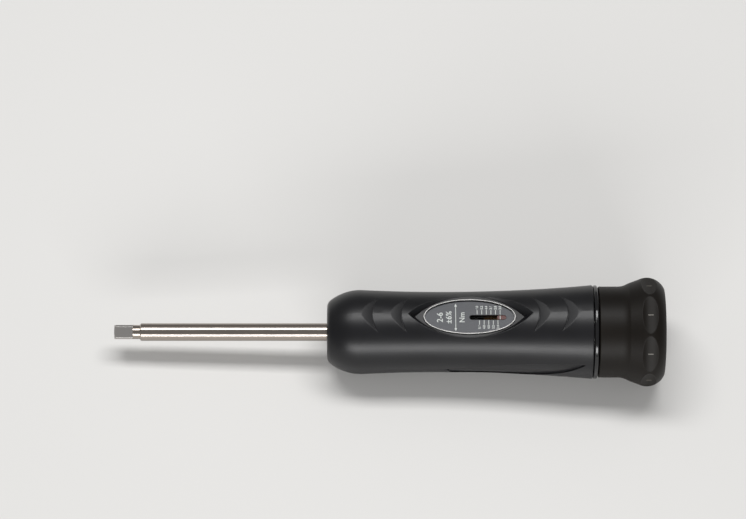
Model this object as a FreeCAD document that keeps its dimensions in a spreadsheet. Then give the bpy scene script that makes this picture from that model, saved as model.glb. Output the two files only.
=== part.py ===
import FreeCAD, Part
import os
import re
import Sketcher
from math import atan2, hypot, pi, sqrt

# Torque screwdriver with a click clutch. The tool's axis is X, from the drive tip at 0 to the
# setting knob, and +Z is the way the scale window faces. All lengths are millimetres.
SIZES = {
    # Drive end
    "square_across": 6.35,
    "square_length": 8.4,
    "square_chamfer": 0.8,
    "shaft_radius": 4.0,
    "journal_relief": 0.25,
    "neck_radius": 3.2,
    "neck_length": 3.3,
    "shoulder_chamfer": 0.4,
    "drive_roll": 28.0,
    "detent_place": 4.2,
    "detent_ball_radius": 1.2,
    "detent_proud": 0.45,
    "detent_hole_depth": 3.6,
    "detent_wire": 0.16,
    # Grip
    "grip_front": 96.7,
    "nose_length": 15.3,
    "nose_face_radius": 13.2,
    "nose_fillet": 4.0,
    "grip_front_radius": 19.15,
    "grip_rear_radius": 21.3,
    "grip_length": 120.5,
    "waist_dip": 1.8,
    "rear_edge_round": 0.5,
    "nose_wall": 3.0,
    "nose_clearance": 0.4,
    "running_clearance": 0.05,
    # Nose bushing, barrel and their bores
    "bushing_radius": 7.0,
    "bushing_length": 11.3,
    "flange_thickness": 2.0,
    "barrel_radius": 12.0,
    "barrel_wall": 1.1,
    "seat_clearance": 0.1,
    "key_width": 3.0,
    # Clutch
    "washer_thickness": 1.0,
    "cam_clearance": 0.6,
    "cam_thickness": 5.0,
    "clutch_ball_radius": 1.5,
    "clutch_ball_circle": 7.6,
    "clutch_gap": 1.0,
    "clutch_balls": 6,
    "plate_thickness": 5.0,
    "pilot_overhang": 1.0,
    "circlip_thickness": 0.8,
    "circlip_rim": 1.6,
    "spring_wire": 1.3,
    "spring_radius": 8.2,
    "spring_turns": 7.5,
    # Carriage, pointer and lead screw
    "travel": 10.4,
    "pointer_front": 173.6,
    "pointer_length": 4.1,
    "pointer_width": 2.0,
    "pointer_lead": 5.6,
    "carriage_length": 12.0,
    "carriage_clearance": 0.15,
    "screw_radius": 4.0,
    "screw_clearance": 0.1,
    "screw_front_reach": 8.0,
    "collar_radius": 8.2,
    "collar_thickness": 3.0,
    "race_thickness": 1.2,
    "race_radius": 9.0,
    "race_groove": 0.5,
    "bearing_ball_radius": 1.5,
    "bearing_circle": 6.3,
    "bearing_balls": 8,
    # Window
    "window_centre": 161.2,
    "recess_floor": 15.0,
    "recess_length": 49.6,
    "recess_width": 20.8,
    "recess_taper": 35.0,
    "lens_length": 41.6,
    "lens_width": 17.6,
    "lens_top": 15.6,
    "lens_thickness": 0.7,
    "bezel_rim": 0.5,
    "dial_top": 14.6,
    "dial_thickness": 0.8,
    "slot_front": 161.1,
    "slot_rear": 177.8,
    "slot_width": 2.4,
    "slot_overrun": 0.5,
    # Ripples and side leaves of the grip
    "ripple_depth": 1.2,
    "ripple_width": 4.8,
    "ripple_reach": 10.6,
    "ripple_radius": 15.0,
    "ripple_front_outer": 20.5,
    "ripple_front_inner": 33.7,
    "ripple_rear_inner": 95.9,
    "ripple_rear_outer": 108.7,
    "leaf_front": 52.8,
    "leaf_rear": 117.1,
    "leaf_nose_top": -2.0,
    "leaf_nose_bottom": -7.0,
    "leaf_tip": 6.3,
    "leaf_top_bow": 1.4,
    "leaf_bottom_bow": 8.6,
    "leaf_nose_round": 2.7,
    "leaf_depth": 0.8,
    # Rear plug and trim ring
    "plug_length": 13.0,
    "ring_gap": 0.25,
    "ring_width": 1.9,
    "ring_round": 0.7,
    "oring_wire": 0.9,
    "oring_inset": 3.0,
    "click_circle": 9.4,
    "click_ball_radius": 1.25,
    "click_proud": 0.4,
    "click_depth": 7.0,
    "click_wire": 0.2,
    # Knob
    "knob_gap": 0.45,
    "knob_length": 29.9,
    "knob_front_radius": 20.7,
    "knob_front_round": 0.6,
    "flare_start": 9.0,
    "flare_neck_place": 13.7,
    "flare_neck_radius": 22.1,
    "flare_neck_bow": 0.35,
    "rim_start_place": 18.7,
    "rim_start_radius": 23.95,
    "rim_bow": 2.4,
    "knob_rear_radius": 20.0,
    "scallops": 8,
    "knob_turn": 7.5,
    "scallop_place": 22.7,
    "scallop_floor": 23.05,
    "scallop_cutter_radius": 7.5,
    "hex_across": 6.0,
    "hex_length": 15.0,
    "knob_screw_radius": 1.5,
    "knob_screw_head": 2.75,
    "knob_screw_head_length": 3.0,
    "knob_web": 5.0,
    "knob_screw_grip": 9.0,
    "cover_radius": 6.0,
    "cover_thickness": 1.6,
}

doc = FreeCAD.newDocument("torque_screwdriver")
sheet = doc.addObject("Spreadsheet::Sheet", "Sizes")
for row, (alias, number) in enumerate(SIZES.items(), start=1):
    sheet.set(f"A{row}", alias)
    sheet.set(f"B{row}", str(number))
    sheet.setAlias(f"B{row}", alias)
doc.recompute()


# Places along the axis and radii that follow from the sizes. Each name stands for its formula.
PLACES = {
    "square_rear": "square_length",
    "neck_rear": "square_length + neck_length",
    "grip_rear": "grip_front + grip_length",
    "nose_rear": "grip_front + nose_length",
    "bushing_front": "grip_front + nose_wall",
    "bushing_rear": "bushing_front + bushing_length + flange_thickness",
    "bore_radius": "barrel_radius + seat_clearance",
    "barrel_bore": "barrel_radius - barrel_wall",
    "journal_radius": "shaft_radius - journal_relief",
    "shaft_bore": "journal_radius + running_clearance",
    "cam_front": "bushing_rear + washer_thickness + seat_clearance",
    "cam_rear": "cam_front + cam_thickness",
    "plate_front": "cam_rear + clutch_gap",
    "plate_rear": "plate_front + plate_thickness",
    "slider_radius": "barrel_bore - seat_clearance",
    "cam_radius": "slider_radius - cam_clearance",
    "spring_front": "plate_rear + washer_thickness",
    "carriage_front": "pointer_front - pointer_lead",
    "carriage_rear": "carriage_front + carriage_length",
    "screw_bore": "screw_radius + screw_clearance",
    "collar_front": "race_front - collar_thickness",
    "race_front": "plug_front - 2 * race_thickness - bearing_stack",
    "bearing_stack": "2 * (bearing_ball_radius - race_groove)",
    "plug_front": "grip_rear - plug_length",
    "plug_rear": "grip_rear + ring_gap + ring_width",
    "oring_place": "plug_rear - oring_inset",
    "knob_front": "plug_rear + knob_gap",
    "knob_rear": "knob_front + knob_length",
    "hex_rear": "knob_front + hex_length",
    "web_rear": "hex_rear + knob_web",
    "dial_floor": "dial_top - dial_thickness",
    "lens_floor": "lens_top - lens_thickness",
    "nose_drop": "grip_front_radius - nose_face_radius",
    "nose_chord_squared": "nose_length^2 + nose_drop^2",
    "nose_arc": "nose_chord_squared / (2 * nose_drop)",
    "nose_bow": "nose_arc - sqrt(nose_arc^2 - nose_chord_squared / 4)",
    "quarter_bow": "1 - sqrt(0.5)",
    "flat_half": "square_across / 2",
    "reach": "2 * grip_rear_radius",
}


def spell(text):
    # Writes a formula out in the sheet's own aliases.
    def word(found):
        name = found[0]
        if name in PLACES:
            return f"({spell(PLACES[name])})"
        return f"Sizes.{name}" if name in SIZES else name

    return re.sub(r"[a-z_]+", word, str(text))


def value(text):
    return float(sheet.evalExpression(spell(text)))


def tie(thing, **formulas):
    for path, formula in formulas.items():
        thing.setExpression(path, spell(formula))
    return thing


def put(thing, x=0, y=0, z=0):
    # Places an object, with each coordinate tied to its formula.
    for path, formula in (("x", x), ("y", y), ("z", z)):
        thing.setExpression(f".Placement.Base.{path}", spell(formula))
    return thing


def origin_plane(body, role):
    return next(item for item in body.Origin.OriginFeatures if item.Role == role)


def pin(sketch, edge, end, way, formula):
    # Ties one coordinate of an edge's end, or of its centre, to a formula.
    amount = value(formula)
    if abs(amount) < 1e-9:
        across = {"X": -2, "Y": -1}[way]
        sketch.addConstraint(Sketcher.Constraint("PointOnObject", edge, end, across))
        return
    index = sketch.addConstraint(Sketcher.Constraint(f"Distance{way}", -1, 1, edge, end, amount))
    sketch.setExpression(f"Constraints[{index}]", spell(formula))


def draw(sketch, outline):
    # A closed outline of points (x, y), or (x, y, bow) where an arc leads to the point.
    # The bow is the arc's rise over its chord, positive to the right of the way it is drawn.
    ends = []
    for here, there in zip(outline, outline[1:] + outline[:1]):
        a, b = (FreeCAD.Vector(value(p[0]), value(p[1]), 0) for p in (here, there))
        if len(there) == 2:
            index = sketch.addGeometry(Part.LineSegment(a, b))
            ends.append((index, 1, 2))
            continue
        rise = value(there[2])
        chord = (b - a).Length
        side = FreeCAD.Vector(b.y - a.y, a.x - b.x, 0) / chord
        centre = (a + b) * 0.5 - side * (chord**2 / (8 * rise) - rise / 2)
        first, last = (a - centre, b - centre) if rise > 0 else (b - centre, a - centre)
        start, end = atan2(first.y, first.x), atan2(last.y, last.x)
        circle = Part.Circle(centre, FreeCAD.Vector(0, 0, 1), first.Length)
        index = sketch.addGeometry(Part.ArcOfCircle(circle, start, end + (2 * pi if end < start else 0)))
        ends.append((index, 1, 2) if rise > 0 else (index, 2, 1))
        (x1, y1), (x2, y2), bow = here[:2], there[:2], there[2]
        chord = f"sqrt(({x2} - ({x1}))^2 + ({y2} - ({y1}))^2)"
        lean = f"({chord} / (8 * ({bow})) - ({bow}) / (2 * {chord}))"
        if abs(b.y - a.y) > abs(b.x - a.x):
            pin(sketch, index, 3, "X", f"({x1} + {x2}) / 2 - ({y2} - ({y1})) * {lean}")
        else:
            pin(sketch, index, 3, "Y", f"({y1} + {y2}) / 2 + ({x2} - ({x1})) * {lean}")
    for (edge, start, _), (before, _, last), point in zip(ends, ends[-1:] + ends[:-1], outline):
        sketch.addConstraint(Sketcher.Constraint("Coincident", before, last, edge, start))
        pin(sketch, edge, start, "X", point[0])
        pin(sketch, edge, start, "Y", point[1])


def sketch_in(body, role, name, outline=None, lift=None):
    # A sketch on one of the body's own planes, lifted off it where a formula says so.
    sketch = body.newObject("Sketcher::SketchObject", name)
    sketch.AttachmentSupport = [(origin_plane(body, role), "")]
    sketch.MapMode = "FlatFace"
    if lift:
        sketch.setExpression(".AttachmentOffset.Base.z", spell(lift))
    if outline:
        draw(sketch, outline)
    return sketch


def new_body(label):
    body = doc.addObject("PartDesign::Body", label)
    body.Label = label
    return body


def turned(label, outline, axis="H_Axis"):
    # A solid of revolution about the tool's axis, from its half section.
    body = new_body(label)
    sketch = sketch_in(body, "XZ_Plane", f"{label}_section", outline)
    feature = body.newObject("PartDesign::Revolution", f"{label}_turning")
    feature.Profile = sketch
    feature.ReferenceAxis = (sketch, [axis])
    feature.Angle = 360
    return body


def roll(body, formula):
    # Turns a body about the tool's axis.
    body.Placement.Rotation = FreeCAD.Rotation(FreeCAD.Vector(1, 0, 0), value(formula))
    body.setExpression(".Placement.Rotation.Angle", spell(formula))
    return body


def sleeve(label, front, rear, inner, outer):
    return turned(label, [(front, inner), (rear, inner), (rear, outer), (front, outer)])


def pocket(body, sketch, length=None, both=False, reverse=False, taper=None):
    feature = body.newObject("PartDesign::Pocket", f"{sketch.Name}_cut")
    feature.Profile = sketch
    feature.Midplane = both
    feature.Reversed = reverse
    tie(feature, Length=length)
    if taper:
        tie(feature, TaperAngle=taper)
    return feature


def pad(body, sketch, length, both=False, reverse=False):
    feature = body.newObject("PartDesign::Pad", f"{sketch.Name}_pad")
    feature.Profile = sketch
    feature.Midplane = both
    feature.Reversed = reverse
    tie(feature, Length=length)
    return feature


def pattern(body, feature, axis, count):
    # Repeats a feature around one of the body's own axes.
    ring = body.newObject("PartDesign::PolarPattern", f"{feature.Name}_ring")
    ring.Originals = [feature]
    ring.Axis = (origin_plane(body, axis), [""])
    ring.Angle = 360
    tie(ring, Occurrences=count)
    body.Tip = ring
    return ring


def primitive(kind, name, x=0, y=0, z=0, turn=None, **formulas):
    thing = doc.addObject(f"Part::{kind}", name)
    if turn:
        thing.Placement = FreeCAD.Placement(FreeCAD.Vector(), turn)
    return put(tie(thing, **formulas), x, y, z)


def cut(label, base, tool):
    result = doc.addObject("Part::Cut", label)
    result.Base = base
    result.Tool = tool
    result.Label = label
    return result


def group(label, members):
    result = doc.addObject("Part::Compound", label)
    result.Links = members
    result.Label = label
    return result


def rectangle(front, rear, low, high):
    return [(front, low), (rear, low), (rear, high), (front, high)]


def circle_in(body, role, name, x, y, radius, lift=None):
    sketch = sketch_in(body, role, name, lift=lift)
    centre = FreeCAD.Vector(value(x), value(y), 0)
    sketch.addGeometry(Part.Circle(centre, FreeCAD.Vector(0, 0, 1), value(radius)))
    index = sketch.addConstraint(Sketcher.Constraint("Radius", 0, value(radius)))
    sketch.setExpression(f"Constraints[{index}]", spell(radius))
    pin(sketch, 0, 3, "X", x)
    pin(sketch, 0, 3, "Y", y)
    return sketch


def slot_outline(front, rear, width):
    half = f"({width}) / 2"
    low, high = f"-{half}", half
    start, end = f"{front} + {half}", f"{rear} - {half}"
    return [(start, low, half), (end, low), (end, high, half), (start, high)]


def coil(label, front, rear, radius, wire, turns):
    # A spring wound along X, its wire's surface just reaching both ends.
    body = new_body(label)
    section = circle_in(body, "XZ_Plane", f"{label}_wire", f"{front} + {wire}", radius, wire)
    feature = body.newObject("PartDesign::AdditiveHelix", f"{label}_winding")
    feature.Profile = section
    feature.ReferenceAxis = (section, ["H_Axis"])
    feature.Mode = "height-turns-growth"
    tie(feature, Height=f"{rear} - ({front}) - 2 * ({wire})", Turns=turns)
    return body


def oval(name, length, width, floor, top):
    # An upright elliptical slab over the window's centre.
    rim = primitive(
        "Ellipse", f"{name}_outline", "window_centre", 0, floor,
        MajorRadius=f"({length}) / 2", MinorRadius=f"({width}) / 2",
    )
    slab = doc.addObject("Part::Extrusion", f"{name}_slab")
    slab.Base = rim
    slab.DirMode = "Custom"
    slab.Dir = FreeCAD.Vector(0, 0, 1)
    slab.Solid = True
    return tie(slab, LengthFwd=f"{top} - ({floor})")


def ring_places(count, circle, start=0):
    # The (y, z) formulas of points spread evenly round the axis, from the window's side.
    step = 360 / count
    angles = [start + step * index for index in range(count)]
    return [(f"-{circle} * sin({angle})", f"{circle} * cos({angle})") for angle in angles]


def spheres(name, radius, x, places):
    return [
        primitive("Sphere", f"{name}_{index}", x, y, z, Radius=radius)
        for index, (y, z) in enumerate(places, start=1)
    ]


ALONG_X = FreeCAD.Rotation(FreeCAD.Vector(0, 1, 0), 90)


def drive_shaft():
    # One bar: square drive, neck, round shaft and the pilot that carries the clutch.
    body = turned("drive_shaft", [
        (0, 0),
        ("plate_rear + pilot_overhang", 0),
        ("plate_rear + pilot_overhang", "journal_radius"),
        ("grip_front", "journal_radius"),
        ("grip_front", "shaft_radius"),
        ("neck_rear + shoulder_chamfer", "shaft_radius"),
        ("neck_rear", "shaft_radius - shoulder_chamfer"),
        ("neck_rear", "neck_radius"),
        ("square_rear", "neck_radius"),
        ("square_rear", "shaft_radius"),
        ("square_chamfer", "shaft_radius"),
        (0, "shaft_radius - square_chamfer"),
    ])
    flat = sketch_in(body, "YZ_Plane", "drive_flat", rectangle(
        "-shaft_radius", "shaft_radius", "flat_half", "shaft_radius + 1"))
    mill = pocket(body, flat, "square_length", reverse=True)
    pattern(body, mill, "X_Axis", 4)
    hole = circle_in(body, "XY_Plane", "detent_hole", "detent_place", 0,
                     "detent_ball_radius + seat_clearance / 2", "-shaft_radius - 1")
    pocket(body, hole, "shaft_radius + 1 - flat_half + detent_hole_depth", reverse=True)
    return roll(body, "drive_roll")


def drive_detent():
    # The spring-loaded ball in the square drive's lower face.
    depth = "flat_half + detent_proud - detent_ball_radius"
    ball = primitive("Sphere", "drive_detent_ball", "detent_place",
                     f"({depth}) * sin(drive_roll)", f"-({depth}) * cos(drive_roll)",
                     Radius="detent_ball_radius")
    spring = coil("drive_detent_spring", 0,
                  f"{depth} - detent_ball_radius - flat_half + detent_hole_depth",
                  "detent_ball_radius * 0.6", "detent_wire", 2.5)
    foot = "(detent_hole_depth - flat_half)"
    aim = FreeCAD.Rotation(FreeCAD.Vector(1, 0, 0), value("drive_roll"))
    spring.Placement.Rotation = aim * FreeCAD.Rotation(FreeCAD.Vector(0, 1, 0), 90)
    put(spring, "detent_place", f"-{foot} * sin(drive_roll)", f"{foot} * cos(drive_roll)")
    return ball, spring


def nose_bushing():
    return turned("nose_bushing", [
        ("bushing_front", "shaft_bore"),
        ("bushing_rear", "shaft_bore"),
        ("bushing_rear", "barrel_radius"),
        ("bushing_rear - flange_thickness", "barrel_radius"),
        ("bushing_rear - flange_thickness", "bushing_radius"),
        ("bushing_front", "bushing_radius"),
    ])


def grip_radius(x):
    # The waisted outline's radius at a place along the tool, on the arc that draws it.
    front, rear = value("nose_rear"), value("grip_rear - rear_edge_round")
    low, high, dip = value("grip_front_radius"), value("grip_rear_radius"), value("waist_dip")
    chord = hypot(rear - front, high - low)
    arc = chord**2 / (8 * dip) + dip / 2
    lean = (high - low) / (rear - front)
    centre_x = (front + rear) / 2 - (arc - dip) * lean * (rear - front) / chord
    centre_r = (low + high) / 2 + (arc - dip) * (rear - front) / chord
    return centre_r - sqrt(arc**2 - (x - centre_x) ** 2)


def ripple(name, place, way):
    # One crescent: a smooth hollow that ends at a sharp curved step on the window's side.
    edge = value(place)
    width, depth, reach = value("ripple_width"), value("ripple_depth"), value("ripple_reach")
    round_ = value("ripple_radius")
    crest = grip_radius(edge)
    half_span = sqrt(2 * round_ * reach - reach**2)
    soft = FreeCAD.Vector(-width, grip_radius(edge - way * width), 0)
    step = FreeCAD.Vector(0, crest - depth, 0)
    tip = FreeCAD.Vector(reach, sqrt(crest**2 - half_span**2), 0)
    arc = Part.Arc(soft, step, tip).toShape().Curve.Radius
    bow = arc - sqrt(arc**2 - (tip - soft).Length ** 2 / 4)
    start, end = f"{place} - {way} * ripple_width", f"{place} + {way} * ripple_reach"
    clear = value("reach")
    body = new_body(name)
    sketch = sketch_in(body, "XZ_Plane", f"{name}_floor", [
        (start, soft.y), (end, tip.y, -way * bow), (end, clear), (start, clear)])
    pad(body, sketch, "reach", both=True)
    post = primitive("Cylinder", f"{name}_step", f"{place} + {way} * ripple_radius",
                     Radius="ripple_radius", Height="2 * reach")
    return cut(f"{name}_hollow", body, post)


def leaf():
    # The shallow leaf-shaped panel on each side, sunk to an even depth.
    body = new_body("leaf")
    front, rear = "grip_front + leaf_front", "grip_front + leaf_rear"
    sketch = sketch_in(body, "XZ_Plane", "leaf_outline", [
        (front, "leaf_nose_bottom", "-leaf_nose_round"),
        (rear, "leaf_tip", "leaf_bottom_bow"),
        (front, "leaf_nose_top", "leaf_top_bow")])
    pad(body, sketch, "2 * reach", both=True)
    core = turned("leaf_core", [
        ("nose_rear", 0),
        ("grip_rear", 0),
        ("grip_rear", "grip_rear_radius - leaf_depth"),
        ("nose_rear", "grip_front_radius - leaf_depth", "-waist_dip")])
    return cut("leaf_hollow", body, core)


def grip_handle(slot):
    # The one-piece grip: domed nose, waist, stepped bore, window recess, ripples and leaves.
    body = turned("grip", [
        ("grip_front", "shaft_radius + nose_clearance"),
        ("bushing_front", "shaft_radius + nose_clearance"),
        ("bushing_front", "bushing_radius"),
        ("bushing_rear - flange_thickness", "bushing_radius"),
        ("bushing_rear - flange_thickness", "bore_radius"),
        ("grip_rear", "bore_radius"),
        ("grip_rear", "grip_rear_radius - rear_edge_round"),
        ("grip_rear - rear_edge_round", "grip_rear_radius", "rear_edge_round * quarter_bow"),
        ("nose_rear", "grip_front_radius", "-waist_dip"),
        ("grip_front", "nose_face_radius", "nose_bow"),
    ])
    doc.recompute()
    turning = body.Tip
    corner = [
        f"Edge{index}" for index, edge in enumerate(turning.Shape.Edges, start=1)
        if isinstance(edge.Curve, Part.Circle)
        and abs(edge.Curve.Center.x - value("grip_front")) < 1e-4
        and abs(edge.Curve.Radius - value("nose_face_radius")) < 1e-4
    ]
    fillet = body.newObject("PartDesign::Fillet", "nose_rounding")
    fillet.Base = (turning, corner)
    tie(fillet, Radius="nose_fillet")
    start, end = (f"window_centre {sign} recess_length / 2" for sign in "-+")
    bow = "recess_width / 2"
    almond = sketch_in(body, "XY_Plane", "window_recess",
                       [(start, 0, bow), (end, 0, bow)], "recess_floor")
    pocket(body, almond, "grip_front_radius", reverse=True, taper="recess_taper")
    seat = oval("window_seat", "lens_length", "lens_width", "dial_floor", "lens_top")
    hollows = [seat, leaf()]
    for name, place, way in (
        ("ripple_1", "grip_front + ripple_front_outer", 1),
        ("ripple_2", "grip_front + ripple_front_inner", 1),
        ("ripple_3", "grip_front + ripple_rear_inner", -1),
        ("ripple_4", "grip_front + ripple_rear_outer", -1),
    ):
        hollows.append(ripple(name, place, way))
    slotted = cut("slotted_grip", body, slot)
    return cut("handle", slotted, group("grip_hollows", hollows))


def pointer_slot():
    # The slot through dial, grip and barrel that the pointer runs in.
    body = new_body("pointer_slot")
    sketch = sketch_in(body, "XY_Plane", "slot_outline",
                       slot_outline("slot_front", "slot_rear", "slot_width"), "barrel_bore / 2")
    pad(body, sketch, "grip_front_radius")
    return body


def window(slot):
    bezel = cut(
        "window_bezel",
        oval("bezel", "lens_length", "lens_width", "dial_top", "lens_top"),
        oval("bezel_opening", "lens_length - 2 * bezel_rim", "lens_width - 2 * bezel_rim",
             "dial_top", "lens_top"))
    lens = oval("lens", "lens_length - 2 * bezel_rim", "lens_width - 2 * bezel_rim",
                "lens_floor", "lens_top")
    lens.Label = "window_lens"
    dial = cut("scale_plate", oval("dial", "lens_length", "lens_width", "dial_floor", "dial_top"),
               slot)
    return bezel, lens, dial


def inner_barrel(slot):
    # The steel tube that guides the clutch plate and the carriage by their keys.
    body = sleeve("barrel_tube", "bushing_rear", "plug_front", "barrel_bore", "barrel_radius")
    width = "key_width + 2 * seat_clearance"
    for name, front, rear in (
        ("plate_way", "plate_front - 1", "plate_rear + 1"),
        ("carriage_way", "carriage_front - travel - slot_overrun", "carriage_rear + slot_overrun"),
    ):
        way = sketch_in(body, "XZ_Plane", name, slot_outline(front, rear, width))
        pocket(body, way, "2 * reach", both=True)
    return cut("inner_barrel", body, slot)


def keyed_disc(label, front, rear, bore):
    # A disc with two keys that slide in the barrel's side slots.
    body = turned(label, [(front, 0), (rear, 0), (rear, "slider_radius"), (front, "slider_radius")])
    inset = "key_width / 2"
    bar = sketch_in(body, "XZ_Plane", f"{label}_keys",
                    rectangle(f"{front} + {inset}", f"{rear} - {inset}", f"-{inset}", inset))
    pad(body, bar, "2 * barrel_radius", both=True)
    hole = circle_in(body, "YZ_Plane", f"{label}_bore", 0, 0, bore, front)
    pocket(body, hole, f"{rear} - ({front})", reverse=True)
    return body


def clutch():
    # Cam with twelve pockets, six balls, and the keyed plate that the main spring presses.
    washer = sleeve("front_thrust_washer", "bushing_rear", "bushing_rear + washer_thickness",
                    "shaft_bore", "cam_radius")
    blank = sleeve("cam_blank", "cam_front", "cam_rear", "journal_radius", "cam_radius")
    middle = "cam_rear + clutch_gap / 2"
    pocket_radius = "clutch_ball_radius + running_clearance"
    pockets = int(2 * SIZES["clutch_balls"])
    cam_places = ring_places(pockets, "clutch_ball_circle")
    cam = cut("clutch_cam", blank,
              group("cam_pockets", spheres("cam_pocket", pocket_radius, middle, cam_places)))
    ball_places = ring_places(SIZES["clutch_balls"], "clutch_ball_circle")
    balls = group("clutch_balls", spheres("clutch_ball", "clutch_ball_radius", middle, ball_places))
    plate_blank = keyed_disc("plate_blank", "plate_front", "plate_rear", "screw_bore")
    plate = cut("pressure_plate", plate_blank,
                group("plate_pockets", spheres("plate_pocket", pocket_radius, middle, ball_places)))
    seat = sleeve("spring_seat", "plate_rear", "spring_front", "screw_bore", "slider_radius")
    spring = coil("main_spring", "spring_front", "carriage_front", "spring_radius",
                  "spring_wire", "spring_turns")
    return washer, cam, balls, plate, seat, spring


def circlip():
    # The split ring that keeps the cam on the shaft.
    return sleeve("cam_circlip", "cam_rear", "cam_rear + circlip_thickness",
                  "journal_radius", "journal_radius + circlip_rim")


def carriage():
    # The nut that the lead screw moves to load the spring, and the red pointer it carries.
    nut = keyed_disc("spring_carriage", "carriage_front", "carriage_rear", "screw_bore")
    width = "pointer_width"
    flag = new_body("pointer")
    sketch = sketch_in(flag, "XY_Plane", "pointer_outline", slot_outline(
        "pointer_front", "pointer_front + pointer_length", width), "slider_radius - 1")
    pad(flag, sketch, "dial_top - seat_clearance - slider_radius + 1")
    seat = new_body("pointer_seat")
    sketch = sketch_in(seat, "XY_Plane", "pointer_seat_outline", slot_outline(
        "pointer_front", "pointer_front + pointer_length", width), "slider_radius - 1")
    pad(seat, sketch, "grip_front_radius")
    nut.Label = "carriage_blank"
    return cut("spring_nut", nut, seat), flag


def lead_screw():
    # Threaded rod, thrust collar and the hexagon that the knob drives.
    body = turned("lead_screw", [
        ("carriage_front - screw_front_reach", 0),
        ("hex_rear", 0),
        ("hex_rear", "screw_radius"),
        ("race_front", "screw_radius"),
        ("race_front", "collar_radius"),
        ("collar_front", "collar_radius"),
        ("collar_front", "screw_radius"),
        ("carriage_front - screw_front_reach", "screw_radius"),
    ])
    flat = sketch_in(body, "YZ_Plane", "hex_flat", rectangle(
        "-screw_radius", "screw_radius", "hex_across / 2", "screw_radius + 1"), "knob_front")
    mill = pocket(body, flat, "hex_length", reverse=True)
    pattern(body, mill, "X_Axis", 6)
    hole = circle_in(body, "YZ_Plane", "tapped_hole", 0, 0, "knob_screw_radius", "hex_rear")
    pocket(body, hole, "knob_screw_grip + 1")
    return roll(body, "knob_turn")


def thrust_bearing():
    groove = "bearing_ball_radius + running_clearance"
    middle = "race_front + race_thickness + bearing_stack / 2"
    places = ring_places(SIZES["bearing_balls"], "bearing_circle")
    channel = doc.addObject("Part::Torus", "race_channel")
    channel.Placement.Rotation = ALONG_X
    put(tie(channel, Radius1="bearing_circle", Radius2=groove), middle)
    rear = f"{middle} + bearing_stack / 2"
    races = [
        cut(label, sleeve(f"{label}_blank", front, f"{front} + race_thickness", "screw_bore",
                          "race_radius"), channel)
        for label, front in (("front_bearing_race", "race_front"), ("rear_bearing_race", rear))
    ]
    balls = group("bearing_balls",
                  spheres("bearing_ball", "bearing_ball_radius", middle, places))
    return races + [balls]


def rear_plug():
    # The threaded plug that closes the barrel and takes the spring's push.
    body = turned("rear_plug", [
        ("plug_front", "screw_bore"),
        ("oring_place - oring_wire", "screw_bore"),
        ("oring_place - oring_wire", "screw_radius + 2 * oring_wire"),
        ("oring_place + oring_wire", "screw_radius + 2 * oring_wire"),
        ("oring_place + oring_wire", "screw_bore"),
        ("plug_rear", "screw_bore"),
        ("plug_rear", "barrel_radius"),
        ("plug_front", "barrel_radius"),
    ])
    hole = circle_in(body, "YZ_Plane", "click_hole", 0, "-click_circle",
                     "click_ball_radius + seat_clearance / 2", "plug_rear")
    pocket(body, hole, "click_depth")
    ring = turned("trim_ring", [
        ("grip_rear + ring_gap", "barrel_radius"),
        ("plug_rear", "barrel_radius"),
        ("plug_rear", "grip_rear_radius - ring_round"),
        ("plug_rear - ring_round", "grip_rear_radius", "ring_round * quarter_bow"),
        ("grip_rear + ring_gap + ring_round", "grip_rear_radius"),
        ("grip_rear + ring_gap", "grip_rear_radius - ring_round", "ring_round * quarter_bow"),
    ])
    seal = doc.addObject("Part::Torus", "shaft_seal")
    seal.Placement.Rotation = ALONG_X
    put(tie(seal, Radius1="screw_radius + oring_wire", Radius2="oring_wire"), "oring_place")
    return body, ring, seal


def click_stop():
    # The ball and spring in the plug that give the knob its feel.
    centre = "plug_rear + click_proud - click_ball_radius"
    ball = primitive("Sphere", "knob_click_ball", centre, 0, "-click_circle",
                     Radius="click_ball_radius")
    spring = coil("knob_click_spring", 0, f"{centre} - click_ball_radius - (plug_rear - click_depth)",
                  "click_ball_radius * 0.75", "click_wire", 6)
    put(spring, "plug_rear - click_depth", 0, "-click_circle")
    return ball, spring


def knob():
    # The setting knob: a bell that flares to a rim with eight finger scallops.
    body = turned("knob", [
        ("knob_front", 0),
        ("knob_rear", 0),
        ("knob_rear", "knob_rear_radius"),
        ("knob_front + rim_start_place", "rim_start_radius", "rim_bow"),
        ("knob_front + flare_neck_place", "flare_neck_radius"),
        ("knob_front + flare_start", "knob_front_radius", "-flare_neck_bow"),
        ("knob_front + knob_front_round", "knob_front_radius"),
        ("knob_front", "knob_front_radius - knob_front_round", "knob_front_round * quarter_bow"),
    ])
    scallop = circle_in(body, "XZ_Plane", "scallop", "knob_front + scallop_place",
                        "scallop_floor + scallop_cutter_radius", "scallop_cutter_radius")
    hollow = pocket(body, scallop, "2 * reach", both=True)
    pattern(body, hollow, "X_Axis", "scallops")
    socket = sketch_in(body, "YZ_Plane", "hex_socket", hexagon("hex_across / 2"), "knob_front")
    pocket(body, socket, "hex_length", reverse=True)
    for name, radius, front, rear in (
        ("screw_hole", "knob_screw_radius + seat_clearance", "hex_rear", "knob_rear"),
        ("head_bore", "knob_screw_head + seat_clearance", "web_rear", "knob_rear"),
        ("cover_seat", "cover_radius", "knob_rear - cover_thickness", "knob_rear"),
    ):
        hole = circle_in(body, "YZ_Plane", name, 0, 0, radius, front)
        pocket(body, hole, f"{rear} - ({front})", reverse=True)
    return roll(body, "knob_turn")


def hexagon(half):
    corner = f"({half}) / cos(30)"
    return [
        (f"{corner} * cos({angle})", f"{corner} * sin({angle})") for angle in range(0, 360, 60)
    ]


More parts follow.
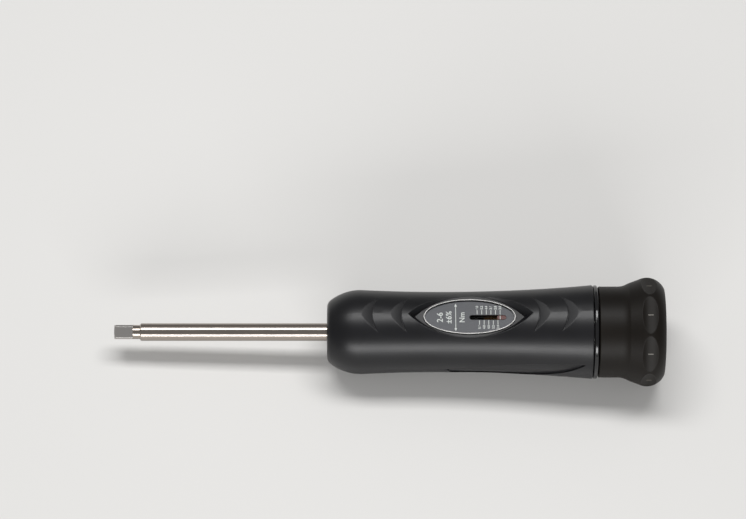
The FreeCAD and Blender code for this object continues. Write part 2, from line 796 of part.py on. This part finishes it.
def knob_fastening():
    screw = turned("knob_screw", [
        ("hex_rear - knob_screw_grip", 0),
        ("web_rear + knob_screw_head_length", 0),
        ("web_rear + knob_screw_head_length", "knob_screw_head"),
        ("web_rear", "knob_screw_head"),
        ("web_rear", "knob_screw_radius"),
        ("hex_rear - knob_screw_grip", "knob_screw_radius"),
    ])
    cover = turned("knob_cover", [
        ("knob_rear - cover_thickness", 0),
        ("knob_rear", 0),
        ("knob_rear", "cover_radius"),
        ("knob_rear - cover_thickness", "cover_radius"),
    ])
    return screw, cover


slot = pointer_slot()
pieces = [grip_handle(slot), nose_bushing(), inner_barrel(slot)]
pieces += window(slot)
pieces += [drive_shaft(), *drive_detent()]
pieces += clutch()
pieces += [circlip(), *carriage()]
pieces += thrust_bearing()
pieces += rear_plug()
pieces += click_stop()
pieces += [lead_screw(), knob(), *knob_fastening()]

doc.recompute()
failed = [thing.Label for thing in doc.Objects if {"Invalid", "Error"} & set(thing.State)]
if failed:
    raise RuntimeError(f"not built: {failed}")
os.makedirs("parts", exist_ok=True)
for piece in pieces:
    shape = piece.Shape
    if shape.isNull() or not shape.isValid():
        raise RuntimeError(f"{piece.Label} has no valid shape")
    shape.exportStep(f"parts/{piece.Label}.step")
    print(f"{piece.Label:22s} solids {len(shape.Solids)} volume {shape.Volume:10.2f} "
          f"x {shape.BoundBox.XMin:7.2f} to {shape.BoundBox.XMax:7.2f} "
          f"z {shape.BoundBox.ZMin:6.2f} to {shape.BoundBox.ZMax:6.2f}")
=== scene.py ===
from math import cos, hypot, pi, radians, sin

import bmesh
import bpy
from mathutils import Matrix, Vector


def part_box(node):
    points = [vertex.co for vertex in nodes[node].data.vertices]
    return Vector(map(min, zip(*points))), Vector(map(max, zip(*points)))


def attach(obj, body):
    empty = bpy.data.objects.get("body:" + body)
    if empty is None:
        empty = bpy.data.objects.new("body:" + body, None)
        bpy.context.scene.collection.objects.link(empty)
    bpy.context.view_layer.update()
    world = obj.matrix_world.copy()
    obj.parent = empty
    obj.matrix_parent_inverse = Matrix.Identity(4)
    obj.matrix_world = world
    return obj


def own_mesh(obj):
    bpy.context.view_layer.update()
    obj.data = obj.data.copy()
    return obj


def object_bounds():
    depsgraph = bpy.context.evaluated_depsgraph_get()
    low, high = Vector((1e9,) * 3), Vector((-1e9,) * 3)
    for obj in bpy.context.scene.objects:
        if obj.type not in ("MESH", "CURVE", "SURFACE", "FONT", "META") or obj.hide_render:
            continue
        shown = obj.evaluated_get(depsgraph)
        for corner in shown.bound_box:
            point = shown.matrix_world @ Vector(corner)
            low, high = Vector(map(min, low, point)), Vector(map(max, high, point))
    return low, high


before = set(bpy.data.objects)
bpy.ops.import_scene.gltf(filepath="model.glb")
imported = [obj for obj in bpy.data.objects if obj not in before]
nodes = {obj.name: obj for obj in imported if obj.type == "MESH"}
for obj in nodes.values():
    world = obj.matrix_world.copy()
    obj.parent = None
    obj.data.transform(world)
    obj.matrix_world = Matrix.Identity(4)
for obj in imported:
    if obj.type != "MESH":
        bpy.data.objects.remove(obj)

mm = 0.001
cadLow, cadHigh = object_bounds()
scene = bpy.context.scene
print("frame loaded:", len(nodes), "solids")


def shade(red, green, blue):
    # A colour as a screen shows it, 0 to 255, turned into the linear one that shaders take.
    def linear(part):
        part /= 255
        return part / 12.92 if part <= 0.04045 else ((part + 0.055) / 1.055) ** 2.4
    return (linear(red), linear(green), linear(blue), 1)


class Wire:
    # One socket of a material that takes part in plain arithmetic.
    def __init__(self, finish, socket):
        self.finish = finish
        self.socket = socket

    def reckon(self, operation, first, second):
        return self.finish.node("ShaderNodeMath", {"operation": operation}, {0: first, 1: second})

    def __add__(self, other):
        return self.reckon("ADD", self, other)

    def __radd__(self, other):
        return self.reckon("ADD", other, self)

    def __sub__(self, other):
        return self.reckon("SUBTRACT", self, other)

    def __rsub__(self, other):
        return self.reckon("SUBTRACT", other, self)

    def __mul__(self, other):
        return self.reckon("MULTIPLY", self, other)

    def __rmul__(self, other):
        return self.reckon("MULTIPLY", other, self)

    def __lt__(self, other):
        return self.reckon("LESS_THAN", self, other)


class Finish:
    # A material, and the few nodes that this tool's surfaces are made of.
    def __init__(self, name, **settings):
        self.material = bpy.data.materials.new(name)
        self.material.use_nodes = True
        self.tree = self.material.node_tree
        self.shader = self.tree.nodes["Principled BSDF"]
        for socket, amount in settings.items():
            self.shader.inputs[socket.replace("_", " ")].default_value = amount

    def node(self, kind, settings, inputs, output=0):
        made = self.tree.nodes.new(kind)
        for name, setting in settings.items():
            setattr(made, name, setting)
        for name, given in inputs.items():
            self.join(given, made.inputs[name])
        return Wire(self, made.outputs[output])

    def join(self, given, socket):
        if isinstance(given, Wire):
            self.tree.links.new(given.socket, socket)
        else:
            socket.default_value = given

    def feed(self, socket, given):
        self.join(given, self.shader.inputs[socket])

    def place(self, stretch=(1, 1, 1)):
        where = self.node("ShaderNodeTexCoord", {}, {}, "Object")
        return self.node("ShaderNodeMapping", {}, {"Vector": where, "Scale": stretch})

    def noise(self, stretch, scale, detail=3.0):
        inputs = {"Vector": self.place(stretch), "Scale": scale, "Detail": detail}
        return self.node("ShaderNodeTexNoise", {}, inputs)

    def along(self):
        # The distance along the tool's axis, in metres.
        return self.node("ShaderNodeSeparateXYZ", {}, {0: self.place()}, "X")

    def blend(self, amount, low, high):
        return self.node("ShaderNodeMix", {"data_type": "RGBA"}, {0: amount, 6: low, 7: high}, 2)

    def relief(self, height, depth, strength=1.0, rounding=0.0):
        inputs = {"Height": height, "Distance": depth, "Strength": strength}
        if rounding:
            inputs["Normal"] = self.node("ShaderNodeBevel", {"samples": 6}, {"Radius": rounding})
        self.feed("Normal", self.node("ShaderNodeBump", {}, inputs))


# Finishes

everyWay = (1, 1, 1)
acrossAxis = (1, 0.02, 0.02)  # rings left by a lathe
alongAxis = (0.03, 1, 1)  # strokes that run with the axis

plastics = {
    "grip": {"low": (11, 11, 13), "high": (20, 20, 23), "rough": 0.36, "gleam": 0.34,
             "grain": 3600, "depth": 0.03, "edge": 0.55},
    "knob": {"low": (13, 10, 7), "high": (21, 17, 13), "rough": 0.48, "gleam": 0.16,
             "grain": 3000, "depth": 0.035, "edge": 0.55},
    "trim": {"low": (14, 14, 15), "high": (22, 22, 23), "rough": 0.14, "gleam": 0.5,
             "grain": 2200, "depth": 0.004, "edge": 0},
    "pointer": {"low": (82, 26, 20), "high": (104, 36, 27), "rough": 0.38, "gleam": 0.4,
                "grain": 5200, "depth": 0.01, "edge": 0},
    "rubber": {"low": (22, 22, 22), "high": (34, 33, 32), "rough": 0.72, "gleam": 0.3,
               "grain": 4200, "depth": 0.02, "edge": 0},
    "print": {"low": (214, 214, 210), "high": (232, 232, 228), "rough": 0.55, "gleam": 0.3,
              "grain": 6000, "depth": 0.003, "edge": 0},
    # Light grey for the small raised bars on the knob's scallops: a painted highlight for the glint at
    # each scallop's centre.
    "paintedGlint": {"low": (72, 68, 62), "high": (92, 88, 80), "rough": 0.36, "gleam": 0.4,
             "grain": 5000, "depth": 0.004, "edge": 0},
}
plasticWear = {"cloudScale": 55, "cloudGloss": 0.08, "grainGloss": 0.04, "polish": 0.06, "relief": 0.6}


def mouldedPlastic(name):
    # Fine moulding grain over a broad, faint change of shade and gloss.
    look = plastics[name]
    finish = Finish(name + "Plastic", Specular_IOR_Level=look["gleam"])
    grain = finish.noise(everyWay, look["grain"])
    cloud = finish.noise(everyWay, plasticWear["cloudScale"])
    finish.feed("Base Color", finish.blend(cloud, shade(*look["low"]), shade(*look["high"])))
    uneven = plasticWear["cloudGloss"] * cloud + plasticWear["grainGloss"] * grain
    finish.feed("Roughness", look["rough"] - plasticWear["polish"] + uneven)
    finish.relief(grain, look["depth"] * mm, plasticWear["relief"], look["edge"] * mm)
    return finish.material


metals = {
    "machinedSteel": {"colour": (176, 173, 168), "rough": 0.26, "metallic": 1.0,
                      "marks": acrossAxis, "scale": 2600},
    "springSteel": {"colour": (122, 120, 118), "rough": 0.30, "metallic": 1.0,
                    "marks": everyWay, "scale": 1800},
    "ballSteel": {"colour": (206, 205, 203), "rough": 0.08, "metallic": 1.0,
                  "marks": everyWay, "scale": 900},
    "bronze": {"colour": (168, 122, 72), "rough": 0.30, "metallic": 1.0,
               "marks": acrossAxis, "scale": 2400},
    "brightTrim": {"colour": (132, 131, 130), "rough": 0.24, "metallic": 1.0,
                   "marks": alongAxis, "scale": 2000},
    "dialAluminium": {"colour": (78, 77, 80), "rough": 0.44, "metallic": 0.55,
                      "marks": alongAxis, "scale": 3200},
}


metalWear = {
    "tarnishScale": 120,
    "dulling": 0.86,
    "markShare": 0.7,
    "markGloss": 0.10,
    "tarnishGloss": 0.06,
    "depth": 0.004,
    "relief": 0.5,
    "edge": 0.15,
}


def metal(name):
    # Tool marks that run one way, with a little tarnish between them.
    look = metals[name]
    wear = metalWear
    finish = Finish(name, Metallic=look["metallic"])
    marks = finish.noise(look["marks"], look["scale"])
    tarnish = finish.noise(everyWay, wear["tarnishScale"])
    bright = shade(*look["colour"])
    dull = shade(*(part * wear["dulling"] for part in look["colour"]))
    share = wear["markShare"] * marks + (1 - wear["markShare"]) * tarnish
    finish.feed("Base Color", finish.blend(share, dull, bright))
    uneven = wear["markGloss"] * (marks - 0.5) + wear["tarnishGloss"] * (tarnish - 0.5)
    finish.feed("Roughness", look["rough"] + uneven)
    finish.relief(marks, wear["depth"] * mm, wear["relief"], wear["edge"] * mm)
    return finish.material


shaftLook = {
    "polished": (166, 157, 149),
    "milled": (174, 171, 168),
    "polishRough": 0.20,
    "millRough": 0.36,
    "squareEnd": 8.4,  # where the milled square stops
    "ringScale": 1500,
    "cutScale": 5200,
    "smearScale": 90,
    "smearGloss": 0.05,
    "ringGloss": 0.03,
    "ringShare": 0.25,  # how much shallower the rings are than the milled cuts
    "depth": 0.006,
    "relief": 0.5,
    "edge": 0.2,
}


def shaftSteel():
    # A polished, faintly turned round shaft with a milled satin square at its front.
    look = shaftLook
    finish = Finish("shaftSteel", Metallic=1.0)
    milled = finish.along() < look["squareEnd"] * mm
    rings = finish.noise(acrossAxis, look["ringScale"])
    cuts = finish.noise(acrossAxis, look["cutScale"], 1.0)
    smear = finish.noise(everyWay, look["smearScale"])
    finish.feed("Base Color", finish.blend(milled, shade(*look["polished"]), shade(*look["milled"])))
    gap = look["millRough"] - look["polishRough"]
    uneven = look["smearGloss"] * (smear - 0.5) + look["ringGloss"] * (rings - 0.5)
    finish.feed("Roughness", look["polishRough"] + gap * milled + uneven)
    height = rings * (1 - milled) * look["ringShare"] + cuts * milled
    finish.relief(height, look["depth"] * mm, look["relief"], look["edge"] * mm)
    return finish.material


lensLook = {
    "tint": (0.96, 0.97, 0.97, 1),
    "rough": 0.04,
    "glance": 0.12,
    "smearScale": 140,
    "leastGloss": 0.85,
    "smearGloss": 0.3,
}


def clearLens():
    # A clear window: see-through face on, glossy at a glance.
    finish = Finish("clearLens")
    tint = finish.node("ShaderNodeBsdfTransparent", {}, {"Color": lensLook["tint"]})
    shine = {"Color": (1, 1, 1, 1), "Roughness": lensLook["rough"]}
    gloss = finish.node("ShaderNodeBsdfGlossy", {}, shine)
    glance = finish.node("ShaderNodeLayerWeight", {}, {"Blend": lensLook["glance"]}, "Fresnel")
    smear = finish.noise(everyWay, lensLook["smearScale"])
    amount = glance * (lensLook["leastGloss"] + lensLook["smearGloss"] * smear)
    both = finish.node("ShaderNodeMixShader", {}, {0: amount, 1: tint, 2: gloss})
    finish.join(both, finish.tree.nodes["Material Output"].inputs["Surface"])
    return finish.material


looks = {name: mouldedPlastic(name) for name in plastics}
looks.update({name: metal(name) for name in metals})
looks["shaftSteel"] = shaftSteel()
looks["clearLens"] = clearLens()

wears = {
    "handle": "grip", "knob": "knob", "knob_cover": "trim", "trim_ring": "trim",
    "pointer": "pointer", "shaft_seal": "rubber", "drive_shaft": "shaftSteel",
    "nose_bushing": "bronze", "spring_nut": "bronze",
    "window_bezel": "brightTrim", "scale_plate": "dialAluminium", "window_lens": "clearLens",
    "drive_detent_ball": "ballSteel", "clutch_balls": "ballSteel", "bearing_balls": "ballSteel",
    "knob_click_ball": "ballSteel", "main_spring": "springSteel", "drive_detent_spring": "springSteel",
    "knob_click_spring": "springSteel", "cam_circlip": "springSteel",
}
for name, solid in nodes.items():
    solid.data.materials.clear()
    solid.data.materials.append(looks[wears.get(name, "machinedSteel")])
print("finishes:", len(looks), "on", len(nodes), "solids")


# New pieces

def keep(mesh, name, look, body):
    # Turns a bmesh into a piece of the tool that rides on one of its bodies.
    bmesh.ops.recalc_face_normals(mesh, faces=mesh.faces)
    data = bpy.data.meshes.new(name)
    mesh.to_mesh(data)
    mesh.free()
    data.materials.append(looks[look])
    piece = bpy.data.objects.new(name, data)
    scene.collection.objects.link(piece)
    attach(piece, body)
    return piece


def addBar(mesh, centre, size, turn=None):
    # A flat bar by its middle and its three sizes, in millimetres.
    place = Matrix.Translation(Vector(centre) * mm)
    if turn:
        place = turn @ place
    bmesh.ops.create_cube(mesh, size=1, matrix=place @ Matrix.Diagonal((*(Vector(size) * mm), 1)))


def addWords(mesh, words, height, x, y, top):
    # Lettering that lies flat on the dial and reads across the tool.
    curve = bpy.data.curves.new("words", "FONT")
    curve.body = words
    curve.size = height * mm
    curve.extrude = dial["ink"] * mm / 2
    curve.offset = dial["boldness"] * mm
    curve.align_x = "CENTER"
    curve.align_y = "CENTER"
    drawn = bpy.data.objects.new("words", curve)
    scene.collection.objects.link(drawn)
    flat = bpy.data.meshes.new_from_object(drawn.evaluated_get(bpy.context.evaluated_depsgraph_get()))
    bpy.data.objects.remove(drawn)
    flat.transform(Matrix.Translation((x * mm, y * mm, top * mm)) @ Matrix.Rotation(pi / 2, 4, "Z"))
    mesh.from_mesh(flat)
    bpy.data.meshes.remove(flat)


dial = {
    "ink": 0.02,
    "firstTick": 175.0,  # where the pointer's line stands at the lowest setting
    "tickPitch": 1.04,
    "ticks": 11,
    "firstValue": 2.0,
    "valueStep": 0.4,
    "tickWidth": 0.32,
    "tickLength": 2.2,
    "tickStart": 1.5,
    "numberPlace": 4.9,
    "numberHeight": 1.5,
    "headings": (("2-6", 3.8, 147.9), ("±6%", 3.6, 151.9), ("Nm", 3.4, 157.9)),
    "boldness": 0.05,
    "arrowPlace": 154.9,
    "arrowReach": 6.2,
    "arrowHead": 0.62,
    "arrowLength": 1.5,
    "lineWidth": 0.3,
    "pointerMargin": 0.2,
}


def dialPrint():
    mesh = bmesh.new()
    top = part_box("scale_plate")[1].z / mm + dial["ink"] / 2
    for words, height, x in dial["headings"]:
        addWords(mesh, words, height, x, 0, top)
    addBar(mesh, (dial["arrowPlace"], 0, top), (dial["lineWidth"], 2 * dial["arrowReach"], dial["ink"]))
    for side in (1, -1):
        head = Matrix.Translation(Vector((dial["arrowPlace"], side * dial["arrowReach"], top)) * mm)
        flat = Matrix.Diagonal((1, 1, dial["ink"] / dial["arrowHead"] / 2, 1))
        bmesh.ops.create_cone(
            mesh, cap_ends=True, segments=12, radius1=dial["arrowHead"] * mm, radius2=0,
            depth=dial["arrowLength"] * mm, matrix=head @ flat @ Matrix.Rotation(-side * pi / 2, 4, "X"))
    for index in range(dial["ticks"]):
        x = dial["firstTick"] - index * dial["tickPitch"]
        side = 1 if index % 2 == 0 else -1
        middle = side * (dial["tickStart"] + dial["tickLength"] / 2)
        addBar(mesh, (x, middle, top), (dial["tickWidth"], dial["tickLength"], dial["ink"]))
        number = f"{dial['firstValue'] + index * dial['valueStep']:.1f}"
        addWords(mesh, number, dial["numberHeight"], x, side * dial["numberPlace"], top)
    keep(mesh, "dial_print", "print", "grip")


def pointerLine():
    mesh = bmesh.new()
    low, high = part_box("pointer")
    width = (high.y - low.y) / mm - dial["pointerMargin"]
    top = high.z / mm + dial["ink"] / 2
    addBar(mesh, (dial["firstTick"], 0, top), (dial["lineWidth"], width, dial["ink"]))
    keep(mesh, "pointer_line", "print", "carriage")


knobMark = {"length": 3.3, "width": 0.5, "proud": 0.10, "count": 8, "place": 242.5, "edge": 0.06}


def scallopFloor():
    # The angle about the axis and the radius of the deepest line of one scallop.
    reach = 40 * mm
    found = []
    for step in range(90):
        angle = radians(step / 2)
        outward = Vector((0, sin(angle), cos(angle)))
        start = Vector((knobMark["place"] * mm, 0, 0)) + outward * reach
        struck, spot, _, _ = nodes["knob"].ray_cast(start, -outward)
        if struck:
            found.append((hypot(spot.y, spot.z), angle))
    return min(found)


def knobMarks():
    # Small raised bars on the scallop floors, coloured light grey as a painted highlight for the glint
    # at each scallop's centre.
    mesh = bmesh.new()
    radius, first = scallopFloor()
    size = (knobMark["length"], knobMark["width"], 2 * knobMark["proud"])
    for index in range(knobMark["count"]):
        turn = Matrix.Rotation(-first - index * 2 * pi / knobMark["count"], 4, "X")
        addBar(mesh, (knobMark["place"], 0, radius / mm), size, turn)
    bmesh.ops.bevel(mesh, geom=mesh.edges[:], offset=knobMark["edge"] * mm, segments=2, affect="EDGES",
                    profile=0.5, material=-1)
    keep(mesh, "knob_glint_bars", "paintedGlint", "setting_knob")
    print("scallop floor: radius", round(radius / mm, 2), "mm at", round(first * 180 / pi, 1), "degrees")


def shortenSpring():
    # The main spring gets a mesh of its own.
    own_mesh(nodes["main_spring"])


bpy.context.view_layer.update()
dialPrint()
pointerLine()
knobMarks()
shortenSpring()
print("new pieces made")


# Camera and stage

view = {
    "elevation": 62.0,
    "lens": 190.0,
    "frameWidth": 0.3394,  # metres across the picture at the tool's axis
    "lookBelow": 0.0330,  # how far the tool sits under the picture's middle
    "lookRight": 0.0073,
}


def placeCamera():
    data = bpy.data.cameras.new("camera")
    data.lens = view["lens"]
    data.clip_start = 0.01
    camera = bpy.data.objects.new("camera", data)
    scene.collection.objects.link(camera)
    tilt = radians(view["elevation"])
    towards = Vector((0, -cos(tilt), sin(tilt)))
    up = Vector((0, sin(tilt), cos(tilt)))
    middle = (cadLow.x + cadHigh.x) / 2 - view["lookRight"]
    aim = Vector((middle, 0, 0)) + up * view["lookBelow"]
    distance = view["frameWidth"] * view["lens"] / data.sensor_width
    camera.location = aim + towards * distance
    camera.rotation_euler = (pi / 2 - tilt, 0, 0)
    scene.camera = camera
    scene.view_settings.view_transform = "Standard"


studio = {
    "floor": (214, 213, 211),
    "world": 0.27,
    "lampPower": 12.3,
    "lampSize": (1.2, 0.31),
    "lampFar": 1.2,
    "frontRise": 17,
    "backRise": 73,
    "gripTouch": 112.0,  # where the grip's front rests on the floor
    "knobTouch": 242.5,
    "floorReach": 3.0,  # metres
    "weaveScale": 700,
}


def addLamp(name, azimuth, elevation):
    data = bpy.data.lights.new(name, "AREA")
    data.shape = "RECTANGLE"
    data.size, data.size_y = studio["lampSize"]
    data.energy = studio["lampPower"]
    lamp = bpy.data.objects.new(name, data)
    scene.collection.objects.link(lamp)
    turn = Matrix.Rotation(radians(azimuth), 4, "Z") @ Matrix.Rotation(radians(90 - elevation), 4, "X")
    centre = Vector(((cadLow.x + cadHigh.x) / 2, 0, 0))
    lamp.matrix_world = Matrix.Translation(centre) @ turn @ Matrix.Translation((0, 0, studio["lampFar"]))


def layFloor():
    # A pale table that the tool rests on by its grip's front and its knob.
    grip = [v.co.z for v in nodes["handle"].data.vertices if v.co.x < (studio["gripTouch"] + 4) * mm]
    high = min(grip)
    low = cadLow.z
    run = (studio["knobTouch"] - studio["gripTouch"]) * mm
    slope = (low - high) / run
    mesh = bmesh.new()
    bmesh.ops.create_grid(mesh, x_segments=1, y_segments=1, size=studio["floorReach"])
    data = bpy.data.meshes.new("floor")
    mesh.to_mesh(data)
    mesh.free()
    table = Finish("floorPaper", Roughness=0.9)
    weave = table.noise(everyWay, studio["weaveScale"])
    table.feed("Base Color", shade(*studio["floor"]))
    table.relief(weave, 0.01 * mm, 0.2)
    data.materials.append(table.material)
    floor = bpy.data.objects.new("floor", data)
    scene.collection.objects.link(floor)
    floor.rotation_euler = (0, -slope, 0)
    floor.location = (studio["knobTouch"] * mm, 0, low)


def buildStage():
    world = bpy.data.worlds.new("studio")
    scene.world = world
    world.use_nodes = True
    world.node_tree.nodes["Background"].inputs[0].default_value = (1, 1, 1, 1)
    world.node_tree.nodes["Background"].inputs[1].default_value = studio["world"]
    addLamp("frontSoftbox", 0, studio["frontRise"])
    addLamp("backSoftbox", 180, studio["backRise"])
    layFloor()


placeCamera()
buildStage()
print("camera and stage set")
